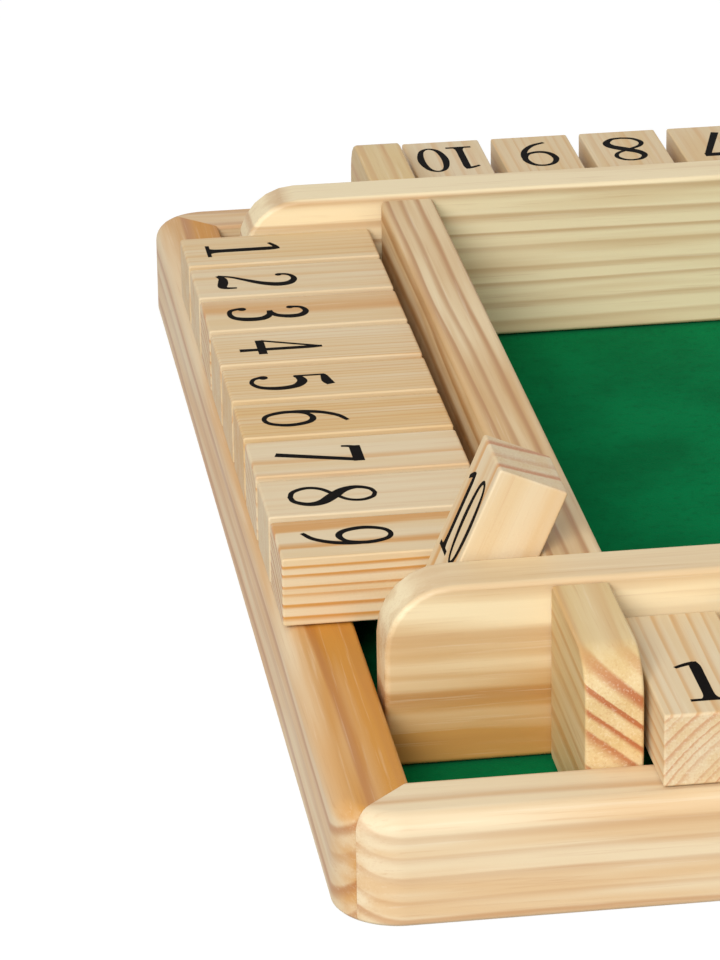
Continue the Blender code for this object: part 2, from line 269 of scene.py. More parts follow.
def pine_material(name, pale, warm, late, deep):
    """Pale to warm early wood, late wood along the grain and deep late wood on cut ends."""
    material, shader, tree = new_material(name, 0.5)
    place = tree.node("Attribute", {"attribute_name": "log_place"}, None, "Vector")
    tone = tree.node("Attribute", {"attribute_name": "log_tone_and_painted_shade"}, None, "Vector")
    end = tree.node("Attribute", {"attribute_name": "end_grain"}, None, "Fac")
    tones = [tree.node("SeparateXYZ", None, {0: tone}, part) for part in range(3)]
    ring_width, contrast, warmth = tones
    line = ring_lines(tree, place, ring_width) * contrast
    fibre = place.stretched(FIBRE_STRETCH).noise(*FIBRE)
    streak = place.stretched(STREAK_STRETCH).noise(*STREAK)
    pore = place.noise(*PORES)
    base = (streak.step(*STREAK_STEP) * STREAK_SHARE + STREAK_SHIFT + warmth).blend(pale, warm)
    side_colour = line.blend(base, late)
    end_colour = (line * END_STRENGTH).blend(base, deep)
    colour = end.blend(side_colour, end_colour)
    colour = flecks(fibre, pore, end, DARK_FIBRE, DARK_PORE).blend(colour, deep)
    colour = flecks(fibre, pore, end, LIGHT_FIBRE, LIGHT_PORE).blend(colour, LIGHT_FLECK)
    plug(shader, "Base Color", colour)
    roughness = PINE_ROUGHNESS + line * LATE_ROUGHNESS + (fibre - 0.5) * FIBRE_ROUGHNESS
    plug(shader, "Roughness", roughness + end * END_ROUGHNESS)
    height = fibre * FIBRE_HEIGHT + line * LATE_HEIGHT + pore * end * PORE_HEIGHT
    relief = {"Strength": RELIEF_STRENGTH, "Distance": SAWN_RELIEF, "Height": height}
    plug(shader, "Normal", tree.node("Bump", None, relief))
    return material


# Pale, warm, late and deep for each kind of piece.
PINE_COLOURS = {
    "tile_pine": ((222, 201, 164), (214, 178, 120), (202, 146, 72), (194, 136, 94)),
    "rail_pine": ((228, 207, 170), (200, 138, 50), (168, 100, 28), (176, 110, 54)),
    "fence_pine": ((238, 219, 178), (190, 140, 72), (174, 120, 60), (176, 118, 66)),
    "block_pine": ((222, 198, 150), (208, 174, 112), (202, 158, 98), (176, 104, 58)),
}
pine = {name: pine_material(name, *(srgb(*colour) for colour in colours))
        for name, colours in PINE_COLOURS.items()}
print("pine finishes:", ", ".join(pine))

# %% [markdown]
# ## Ink, steel, felt and the base board
# The numbers are dark ink pressed onto the wood, so they are a little uneven and catch little
# light. The rods are plain drawn steel, dull in patches. Felt is pressed wool: no weave, only a
# short nap with lighter and darker tufts. The base is a thin board of pressed fibres, which has
# fine specks and no rings. All four patterns lie on Object coordinates.

# %% Ink, steel, felt and base board
NAP_HEIGHT, NAP_STRENGTH = 0.4 * MM, 0.6
BOARD_RELIEF, BOARD_STRENGTH = 0.2 * MM, 0.25
INK_SHINE = 0.02
FELT_SHEEN = 0.02
# Noises, again as scale, detail and roughness.
INK_PATCHES = (420, 3.0, 0.6)
STEEL_SPECKS, STEEL_CLOUDS = (1800, 3.0, 0.65), (90, 2.0)
FELT_CLOUDS, FELT_TUFTS, FELT_HAIRS = (40, 4.0, 0.6), (520, 3.0, 0.65), (2600, 2.0, 0.7)
BOARD_SPECKS, BOARD_CLOUDS = (900, 4.0, 0.7), (30, 3.0, 0.6)


def ink_material():
    """Near-black with a slow change in strength, as a press leaves it."""
    material, shader, tree = new_material("number_print", 0.6)
    shader.inputs["Specular IOR Level"].default_value = INK_SHINE
    place = tree.node("TexCoord", None, None, "Object")
    patch = place.noise(*INK_PATCHES)
    ink = patch.step(0.5, 0.8).blend(srgb(10, 7, 6), srgb(28, 20, 16))
    plug(shader, "Base Color", ink)
    plug(shader, "Roughness", 0.5 + patch * 0.25)
    return material


def steel_material():
    """Grey metal whose roughness changes in fine specks."""
    material, shader, tree = new_material("rod_steel", 0.3)
    shader.inputs["Metallic"].default_value = 1.0
    place = tree.node("TexCoord", None, None, "Object")
    speck = place.noise(*STEEL_SPECKS)
    cloud = place.noise(*STEEL_CLOUDS)
    steel = cloud.step(0.35, 0.7).blend(srgb(196, 196, 194), srgb(168, 167, 164))
    plug(shader, "Base Color", steel)
    plug(shader, "Roughness", 0.22 + speck * 0.26)
    return material


def felt_material():
    """Tufts of three sizes mixed into a green, with the nap as bump."""
    material, shader, tree = new_material("green_felt", 0.95)
    shader.inputs["Sheen Weight"].default_value = FELT_SHEEN
    shader.inputs["Sheen Roughness"].default_value = 0.5
    shader.inputs["Specular IOR Level"].default_value = 0.0
    place = tree.node("TexCoord", None, None, "Object")
    cloud = place.noise(*FELT_CLOUDS)
    tuft = place.noise(*FELT_TUFTS)
    hair = place.noise(*FELT_HAIRS)
    colour = cloud.step(0.3, 0.7).blend(srgb(0, 104, 56), srgb(0, 122, 68))
    colour = (tuft.step(0.5, 0.75) * 0.4).blend(colour, srgb(0, 88, 46))
    colour = (hair.step(0.58, 0.78) * 0.3).blend(colour, srgb(10, 138, 82))
    plug(shader, "Base Color", colour)
    height = tuft * 0.6 + hair * 0.5
    relief = {"Strength": NAP_STRENGTH, "Distance": NAP_HEIGHT, "Height": height}
    plug(shader, "Normal", tree.node("Bump", None, relief))
    return material


def base_board_material():
    """Pressed fibre: a tan ground with short dark and light specks."""
    material, shader, tree = new_material("base_board", 0.7)
    place = tree.node("TexCoord", None, None, "Object")
    speck = place.stretched((1, 0.35, 1)).noise(*BOARD_SPECKS)
    cloud = place.noise(*BOARD_CLOUDS)
    colour = cloud.step(0.3, 0.7).blend(srgb(176, 139, 96), srgb(160, 122, 82))
    colour = (speck.step(0.52, 0.7) * 0.5).blend(colour, srgb(120, 86, 54))
    plug(shader, "Base Color", colour)
    plug(shader, "Roughness", 0.62 + speck * 0.2)
    relief = {"Strength": BOARD_STRENGTH, "Distance": BOARD_RELIEF, "Height": speck}
    plug(shader, "Normal", tree.node("Bump", None, relief))
    return material


finish = {"number_print": ink_material(), "rod_steel": steel_material(),
          "green_felt": felt_material(), "base_board": base_board_material(), **pine}
print("finishes:", ", ".join(finish))

# %% [markdown]
# ## Nets of points
# Every piece here is a net: rows and columns of points worked out at once by numpy, with a quad
# between each four neighbours. A net that closes both ways is a ring, one that closes one way is
# a tube, and two flat faces close a tube into a solid.

# %% Nets and pieces
SHARP_ANGLE = math.radians(40)
FACE_WEIGHT = 50
NO_DRIFT = (0, 0, 0)


def net_faces(rows, columns, close_rows=False, close_columns=True):
    """Quads (r, c), (r, c+1), (r+1, c+1), (r+1, c) for every cell of a rows x columns net."""
    row = np.arange(rows if close_rows else rows - 1)
    column = np.arange(columns if close_columns else columns - 1)
    first, second = np.meshgrid(row, column, indexing="ij")
    next_row = (first + 1) % rows
    next_column = (second + 1) % columns
    corners = [first * columns + second, first * columns + next_column,
               next_row * columns + next_column, next_row * columns + second]
    return np.stack(corners, -1).reshape(-1, 4).tolist()


def tube_caps(rows, columns):
    """The first and the last row of a tube, each as one flat face."""
    last = (rows - 1) * columns
    return [list(range(columns)), list(range(last, last + columns))]


def make_mesh(name, points, faces, weld=0.0):
    """Points and faces as a mesh with its faces turned outwards."""
    mesh = bpy.data.meshes.new(name)
    mesh.from_pydata(points.reshape(-1, 3).tolist(), [], faces)
    shape = bmesh.new()
    shape.from_mesh(mesh)
    if weld:
        bmesh.ops.remove_doubles(shape, verts=shape.verts, dist=weld)
    bmesh.ops.recalc_face_normals(shape, faces=shape.faces)
    shape.to_mesh(mesh)
    shape.free()
    mesh.shade_smooth()
    mesh.set_sharp_from_angle(angle=SHARP_ANGLE)
    return mesh


def tube_mesh(name, net, weld=0.0):
    """A tube net with its two ends closed."""
    size = net.shape[:2]
    return make_mesh(name, net, net_faces(*size) + tube_caps(*size), weld)


def mesh_points(mesh, field="co"):
    """One number triple per vertex: its place, or its normal."""
    flat = np.empty(len(mesh.vertices) * 3)
    mesh.vertices.foreach_get(field, flat)
    return flat.reshape(-1, 3)


def make_piece(name, mesh, slot, body, *replaced):
    """A finished piece: its mesh in place, its finish, its body and the nodes it stands for."""
    piece = add_object(name, mesh)
    mesh.materials.clear()
    mesh.materials.append(finish[slot])
    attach(piece, body)
    if replaced:
        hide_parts(*replaced)
    return piece


def even_shading(piece):
    """Lets each corner's normal follow its largest face, so flats look flat and edges round."""
    weighted = piece.modifiers.new("flat_faces_first", "WEIGHTED_NORMAL")
    weighted.mode = "FACE_AREA"
    weighted.weight = FACE_WEIGHT
    weighted.keep_sharp = True


def add_vectors(mesh, name, values):
    """Stores one vector per vertex as an attribute that a shader can read by name."""
    layer = mesh.attributes.new(name, "FLOAT_VECTOR", "POINT")
    layer.data.foreach_set("vector", np.ascontiguousarray(values, float).ravel())


def cut_from_log(mesh, grain, wood, shift, drift=NO_DRIFT, origin=0):
    """Writes each point's place in the log, for a mesh that still lies in its row's axes.

    grain names the axis along the trunk. wood holds the pith, which is where the middle of the
    trunk lies in the other two axes, and the tones: the ring width in metres, the contrast of
    the rings and the warmth of the wood. drift is how much the warmth rises per metre along each
    axis, away from the middle of the piece."""
    pith, tones = wood
    local = mesh_points(mesh) - origin
    others = [axis for axis in range(3) if axis != grain]
    place = np.stack([local[:, others[0]] - pith[0], local[:, others[1]] - pith[1],
                      local[:, grain] + shift], -1)
    add_vectors(mesh, "log_place", place)
    middle = (local.min(0) + local.max(0)) / 2
    tone = np.repeat([tones], len(local), 0)
    # drift adds warmth along an axis: wood tone on the left rail, painted shade at the front
    # fence's foot.
    tone[:, 2] += (local - middle) @ np.array(drift, float)
    add_vectors(mesh, "log_tone_and_painted_shade", tone)
    end = mesh.attributes.new("end_grain", "FLOAT", "POINT")
    end.data.foreach_set("value", mesh_points(mesh, "normal")[:, grain] ** 2)


# %% [markdown]
# ## Outlines with round corners
# Tiles, fences and end blocks are all flat plates whose outline has round corners and whose rims
# are eased with sandpaper. An outline is a loop of points with the outward direction at each.
# The plate then follows from two numbers per row of the net: how far the loop is drawn in, and
# how far across the plate it lies.

# %% Outlines and eased plates
CORNER_STEPS = 6
RIM_STEPS = 4
LOOP_SPACING = 4 * MM


def outline(corners, spacing=LOOP_SPACING):
    """A loop through right-angled corners (across, up, radius), anticlockwise from the first.

    A corner's point at angle t is centre + radius * (cos t, sin t); points between two corners
    lie evenly on the straight line. Gives the points and the outward directions."""
    points, outward = [], []
    arcs = []
    for index, (across, up, radius) in enumerate(corners):
        start = math.pi + index * math.pi / 2
        angles = start + np.linspace(0, math.pi / 2, CORNER_STEPS + 1)
        ray = np.stack([np.cos(angles), np.sin(angles)], -1)
        corner_way = np.sign(ray.sum(0))
        middle = np.array((across, up)) - radius * corner_way
        arcs.append((middle + radius * ray, ray))
    for index, (arc, ray) in enumerate(arcs):
        following = arcs[(index + 1) % len(arcs)][0][0]
        gap = following - arc[-1]
        count = max(int(np.linalg.norm(gap) / spacing), 1)
        shares = np.arange(1, count)[:, None] / count
        points += [arc, arc[-1] + shares * gap]
        outward += [ray, np.repeat(ray[-1:], count - 1, 0)]
    return np.concatenate(points), np.concatenate(outward)


def rim_profile(depth, ease):
    """(drawn in, across) down one rim and up the other.

    Over a quarter turn t, drawn in = ease (1 - sin t) and across = ease (1 - cos t)."""
    turn = np.linspace(0, math.pi / 2, RIM_STEPS + 1)
    drawn = ease * (1 - np.sin(turn))
    across = ease * (1 - np.cos(turn)) - depth / 2
    return np.concatenate([drawn, drawn[::-1]]), np.concatenate([across, -across[::-1]])


def plate_net(loop, outward, depth, ease):
    """Net of (first axis, second axis, across).

    Each row of the rim is the loop - outward * drawn in."""
    drawn, across = rim_profile(depth, ease)
    flat = loop[None] - outward[None] * drawn[:, None, None]
    height = np.broadcast_to(across[:, None, None], flat.shape[:2] + (1,))
    return np.concatenate([flat, height], -1)


# %% [markdown]
# ## The rows
# All four rows are the same piece of joinery turned about the middle of the board, so each piece
# is shaped once for the front row and turned. Seen by its own player, a row has x to the right,
# y inwards and z up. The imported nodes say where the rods, fences and tiles are.

# %% Rows and how they are turned
TURNS = {"front": 0, "right": 1, "back": 2, "left": 3}
TURNED_BACK = {"front": "front", "right": "left", "back": "back", "left": "right"}


def turned(points, side):
    """Quarter turns about the upright axis: (x, y) becomes (-y, x) once for each."""
    result = points.copy()
    for _ in range(TURNS[side]):
        result = np.stack([-result[..., 1], result[..., 0], result[..., 2]], -1)
    return result


def row_box(node, side):
    """A node's lowest and highest corners as its own row sees them."""
    corners = np.array([tuple(corner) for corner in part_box(node)])
    seen = turned(corners, TURNED_BACK[side])
    return seen.min(0), seen.max(0)


half_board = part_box("frame_rail_right")[1].x
rail_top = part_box("frame_rail_front")[1].z
rod = {side: sum(row_box(f"rod_{side}", side)) / 2 for side in TURNS}
print("rods at", {side: np.round(place / MM, 1).tolist() for side, place in rod.items()})

# %% [markdown]
# ## Rails
# Four rails make the frame. Each is one moulding with a rounded top outer edge, mitred at both
# ends, and the finished frame has its corners sanded round. A section is carried along a path
# that runs straight and then round an eighth of a turn to the mitre: the further in a point of
# the section lies, the smaller its arc, and past the arc's centre the path just stops sooner.

# %% Rails
RAIL_WIDTH = 13.2 * MM
RAIL_CORNER = 11 * MM
RAIL_TOP_ROUND = 3.4 * MM
RAIL_EASE = 0.8 * MM
REBATE_DEPTH = 5 * MM
REBATE_TOP = 4.5 * MM
MITRE_GAP = 0.02 * MM
STRAIGHT_ROWS = 25
ARC_STEPS = 8
ROUND_STEPS = 7
EASE_STEPS = 3


def quarter(middle, radius, start, steps):
    """Points of a quarter circle about middle, from the angle start in quarter turns."""
    angles = (start + np.linspace(0, 1, steps + 1)) * math.pi / 2
    return np.stack([np.cos(angles), np.sin(angles)], -1) * radius + middle


def rail_section():
    """The moulding's outline as (depth in from the outer face, height)."""
    top = rail_top
    round_middle = (RAIL_TOP_ROUND, top - RAIL_TOP_ROUND)
    ease_middle = (RAIL_WIDTH - RAIL_EASE, top - RAIL_EASE)
    outer_top = quarter(round_middle, RAIL_TOP_ROUND, 1, ROUND_STEPS)[::-1]
    inner_top = quarter(ease_middle, RAIL_EASE, 0, EASE_STEPS)[::-1]
    wall = RAIL_WIDTH - REBATE_DEPTH
    rebate = [(RAIL_WIDTH, REBATE_TOP), (wall, REBATE_TOP), (wall, 0)]
    outer_foot = quarter((RAIL_EASE, RAIL_EASE), RAIL_EASE, 2, EASE_STEPS)[::-1]
    return np.concatenate([outer_top, inner_top, rebate, outer_foot])


def rail_net():
    """Rows along the rail, columns round the section.

    With depth d in from the outer face, the path is straight for |x| < half - max(corner, d) and
    then an arc of radius max(corner - d, 0) to 45 degrees."""
    section = rail_section()
    depth, height = section[:, 0], section[:, 1]
    straight = half_board - np.maximum(RAIL_CORNER, depth)
    radius = np.maximum(RAIL_CORNER - depth, 0)
    centre_y = -half_board + np.maximum(RAIL_CORNER, depth)
    shares = np.linspace(-1, 1, STRAIGHT_ROWS)[:, None]
    level_y = np.broadcast_to(centre_y - radius, (STRAIGHT_ROWS, len(depth)))
    middle = np.stack([shares * straight, level_y], -1)
    turn = np.linspace(0, math.pi / 4, ARC_STEPS + 1)[1:, None]
    arc = np.stack([straight + radius * np.sin(turn), centre_y - radius * np.cos(turn)], -1)
    mirrored = arc[::-1] * (-1, 1)
    plan = np.concatenate([mirrored, middle, arc])
    plan[..., 0] *= 1 - MITRE_GAP / half_board
    return np.concatenate([plan, np.broadcast_to(height, plan.shape[:2])[..., None]], -1)


# %% [markdown]
# ## The rails' wood
# The wood of each piece is given as a pith, then the ring width, contrast and warmth. The left
# rail is amber on top and paler at its outer face, so its warmth rises inwards. Each row takes
# its wood from a place further along the trunk.

# %% Four rails and their wood
RAIL_WOOD = {"front": ((-0.085, -0.09), (3.0 * MM, 0.50, 0.0)),
             "left": ((-0.10, -0.04), (3.8 * MM, 0.7, 0.80)),
             "back": ((-0.16, -0.05), (2.4 * MM, 0.5, 0.3)),
             "right": ((-0.11, 0.07), (2.8 * MM, 0.55, 0.4))}
RAIL_DRIFT = {"left": (0, 95, 0)}
ROW_ALONG = 0.4
WELD = 0.001 * MM
net = rail_net()
for side in TURNS:
    mesh = tube_mesh(f"rail_{side}", net, WELD)
    shift = ROW_ALONG * TURNS[side]
    cut_from_log(mesh, 0, RAIL_WOOD[side], shift, RAIL_DRIFT.get(side, NO_DRIFT))
    mesh.vertices.foreach_set("co", turned(mesh_points(mesh), side).ravel())
    node = f"frame_rail_{side}"
    even_shading(make_piece(f"rail_{side}", mesh, "rail_pine", "board", node))
print(f"rail net {net.shape[0]} x {net.shape[1]}")

# %% [markdown]
# ## Fences
# A fence stands on the felt between a row of tiles and the tray, and a shut tile leans on it.
# The long fences run right across and have their top corners rounded off. The short ones fit
# between them. Both are eased plates, drawn in the row's x and z and as deep as the fence. The
# front one grows warmer and darker towards its foot and paler towards its top: painted shade,
# standing in for the shadow that the front rail casts on its lower face.

# %% Fences
FENCE_EASE = 1.0 * MM
LONG_END_ROUND = 11.5 * MM
SQUARE_CORNER = 1.2 * MM
FENCE_WOOD = {"front": ((-0.10, -0.165), (9.5 * MM, 0.60, 0.48)),
              "left": ((-0.17, 0.06), (3.0 * MM, 1.4, 0.35)),
              "back": ((-0.10, -0.30), (3.9 * MM, 0.55, -0.15)),
              "right": ((-0.14, 0.05), (2.8 * MM, 0.6, 0.4))}
# Painted shade: the front fence's warmth rises towards its foot, so its lower face darkens
# towards the fence_pine warm colour in place of the front rail's shadow.
FENCE_FOOT_PAINTED_SHADE = {"front": (0, 0, -44)}
FENCE_ALONG = 1.7


def box_outline(low, high, top_left, top_right):
    """Outline of an upright plate between two corners, with its own radius at each top corner."""
    return outline([(low[0], low[1], SQUARE_CORNER), (high[0], low[1], SQUARE_CORNER),
                    (high[0], high[1], top_right), (low[0], high[1], top_left)])


for side in TURNS:
    low, high = row_box(f"fence_{side}", side)
    end_round = LONG_END_ROUND if side in ("front", "back") else SQUARE_CORNER
    loop, outward = box_outline(low[[0, 2]], high[[0, 2]], end_round, end_round)
    net = plate_net(loop, outward, high[1] - low[1], FENCE_EASE)[..., [0, 2, 1]]
    net[..., 1] += (low[1] + high[1]) / 2
    mesh = tube_mesh(f"fence_{side}_wood", net)
    shift = FENCE_ALONG + ROW_ALONG * TURNS[side]
    cut_from_log(mesh, 0, FENCE_WOOD[side], shift, FENCE_FOOT_PAINTED_SHADE.get(side, NO_DRIFT))
    mesh.vertices.foreach_set("co", turned(mesh_points(mesh), side).ravel())
    node = f"fence_{side}"
    even_shading(make_piece(f"fence_{side}_wood", mesh, "fence_pine", "board", node))
print("fences made")

# %% [markdown]
# ## End blocks
# A block at each end of the long rows carries the rod. It stands between rail and fence, with
# its top rounded over towards the rail, and it is sawn so that its end grain faces the player.

# %% End blocks
BLOCK_EASE = 0.6 * MM
BLOCK_OUTER_ROUND = 8 * MM
BLOCK_WOOD = {("front", "left"): ((-0.120, -0.14), (3.5 * MM, 1.35, 0.25)),
              ("front", "right"): ((0.06, -0.05), (2.8 * MM, 0.8, 0.3)),
              ("back", "left"): ((0.10, -0.03), (3.4 * MM, 1.0, 0.3)),
              ("back", "right"): ((-0.05, -0.07), (2.6 * MM, 0.8, 0.3))}
BLOCK_ALONG = 4
for (side, hand), wood in BLOCK_WOOD.items():
    low, high = row_box(f"end_block_{side}_{hand}", side)
    middle = (low + high) / 2
    loop, outward = box_outline(low[1:], high[1:], BLOCK_OUTER_ROUND, SQUARE_CORNER)
    net = plate_net(loop, outward, high[0] - low[0], BLOCK_EASE)[..., [2, 0, 1]]
    net[..., 0] += middle[0]
    mesh = tube_mesh(f"block_{side}_{hand}", net)
    cut_from_log(mesh, 1, wood, BLOCK_ALONG + low[0], origin=middle)
    mesh.vertices.foreach_set("co", turned(mesh_points(mesh), side).ravel())
    node = f"end_block_{side}_{hand}"
    even_shading(make_piece(f"block_{side}_{hand}", mesh, "block_pine", "board", node))
print("end blocks made")

# %% [markdown]
# ## Tiles
# A tile is a small pine board on a rod. Its side view is an outline with a hole in it, so the
# net closes both ways: from the hole's wall over one side face and its rim, along the outside,
# back over the other side, and through the hole again.

# %% Tile shape
TILE_EASE = 0.4 * MM
TILE_CORNER = 0.55 * MM
TILE_SPACING = 1.6 * MM
BORE_RADIUS = 1.8 * MM
low, high = row_box("tile_front_05", "front")
tile_width = high[0] - low[0]
reach_out = rod["front"][1] - low[1]
reach_in = high[1] - rod["front"][1]
below_rod = rod["front"][2] - low[2]
above_rod = high[2] - rod["front"][2]


def tile_net():
    """Net of (x across the tile, y inwards, z up) about the rod's axis.

    The hole's points lie at the same angles about the rod as the outline's, but at the bore's
    radius."""
    corners = [(-reach_out, -below_rod, TILE_CORNER), (reach_in, -below_rod, TILE_CORNER),
               (reach_in, above_rod, TILE_CORNER), (-reach_out, above_rod, TILE_CORNER)]
    loop, outward = outline(corners, spacing=TILE_SPACING)
    shell = plate_net(loop, outward, tile_width, TILE_EASE)
    hole = BORE_RADIUS * loop / np.linalg.norm(loop, axis=1, keepdims=True)
    walls = [np.concatenate([hole, np.full((len(hole), 1), across)], -1)[None]
             for across in (-tile_width / 2, tile_width / 2)]
    return np.concatenate([walls[0], shell, walls[1]])[..., [2, 0, 1]]


tile_points = tile_net()
tile_faces = net_faces(*tile_points.shape[:2], close_rows=True)
print(f"tile net {tile_points.shape[0]} x {tile_points.shape[1]}, {len(tile_faces)} quads")

# %% [markdown]
# ## Numbers
# The numbers are tall and slim, with thick and thin strokes, and are printed on both faces so
# that an open tile and a shut one both show theirs. A stroke is a ribbon: a smooth path through
# a few points, each with its own width. The ribbons of one number are joined by Boolean union
# into one thin plate. The plate is made in millimetres, where the solver works best.

# %% Ribbons and discs
NUMBER_HEIGHT = 16.8
RIBBON_STEPS = 8
DISC_SIDES = 24
# In millimetres: how deep the ink lies, how high it stands and how much it widens a ribbon.
INK_DEPTH = 0.02
INK_RISE = 0.035
INK_SPREAD = 0.16
# How much further each plate of a digit reaches at both faces than the one before.
INK_STAGGER = 0.0012
# Plates are joined at ten times their thickness, and a number's points are flattened again.
THICKENED = 10


def smooth_path(knots, closed):
    """Catmull-Rom: between knots b and c, with neighbours a and d, at share t the place is
    (2b + (c - a) t + (2a - 5b + 4c - d) t^2 + (3b - a - 3c + d) t^3) / 2."""
    knots = np.asarray(knots, float)
    if closed:
        around = np.concatenate([knots[-1:], knots, knots[:2]])
    else:
        before = 2 * knots[:1] - knots[1:2]
        beyond = 2 * knots[-1:] - knots[-2:-1]
        around = np.concatenate([before, knots, beyond])
    a, b, c, d = (around[i:len(around) - 3 + i, None] for i in range(4))
    t = (np.arange(RIBBON_STEPS) / RIBBON_STEPS)[None, :, None]
    squared = 2 * a - 5 * b + 4 * c - d
    cubed = 3 * b - a - 3 * c + d
    curve = (2 * b + (c - a) * t + squared * t ** 2 + cubed * t ** 3) / 2
    curve = curve.reshape(-1, 3)
    return curve if closed else np.concatenate([curve, knots[-1:]])


def ribbon_mesh(knots, closed=False, straight=False, layer=0):
    """A plate whose edges lie half a width to each side of the path, square to it.

    layer makes each plate of a digit a hair thicker, so that no two faces lie in one plane."""
    path = np.asarray(knots, float) if straight else smooth_path(knots, closed)
    ahead = np.roll(path, -1, 0) - np.roll(path, 1, 0)
    if not closed:
        ahead[0] = path[1] - path[0]
        ahead[-1] = path[-1] - path[-2]
    side = np.stack([-ahead[:, 1], ahead[:, 0]], -1)
    side /= np.linalg.norm(side, axis=1, keepdims=True)
    half = side * (path[:, 2:] + INK_SPREAD) / 2
    left, right = path[:, :2] + half, path[:, :2] - half
    flat = np.stack([left, right, right, left], 1)
    rise = INK_RISE + layer * INK_STAGGER
    depth = INK_DEPTH + layer * INK_STAGGER
    height = np.array([rise, rise, -depth, -depth]) * THICKENED
    net = np.concatenate([flat, np.broadcast_to(height[:, None], flat.shape[:2] + (1,))], -1)
    if closed:
        return make_mesh("ribbon", net, net_faces(*net.shape[:2], close_rows=True))
    return tube_mesh("ribbon", net)


def disc_mesh(across, up, radius, layer=0):
    """A round plate for the ball at the end of a stroke, with a layer as a ribbon has."""
    angles = np.linspace(0, 2 * math.pi, DISC_SIDES, endpoint=False)
    flat = np.stack([across + radius * np.cos(angles), up + radius * np.sin(angles)], -1)
    reach = layer * INK_STAGGER
    heights = np.array([-INK_DEPTH - reach, INK_RISE + reach]) * THICKENED
    net = np.stack([np.concatenate([flat, np.full((DISC_SIDES, 1), height)], -1)
                    for height in heights])
    return tube_mesh("disc", net)


# %% [markdown]
# ## The ten digits
# Each digit is a few strokes in a frame 16.8 mm high, with x = 0 in its middle. A point of a
# stroke is across, up and the stroke's width there. Curves and closed rings are smooth, lines are
# straight, and a ball ends a hooked stroke. A 9 is a 6 turned half round.

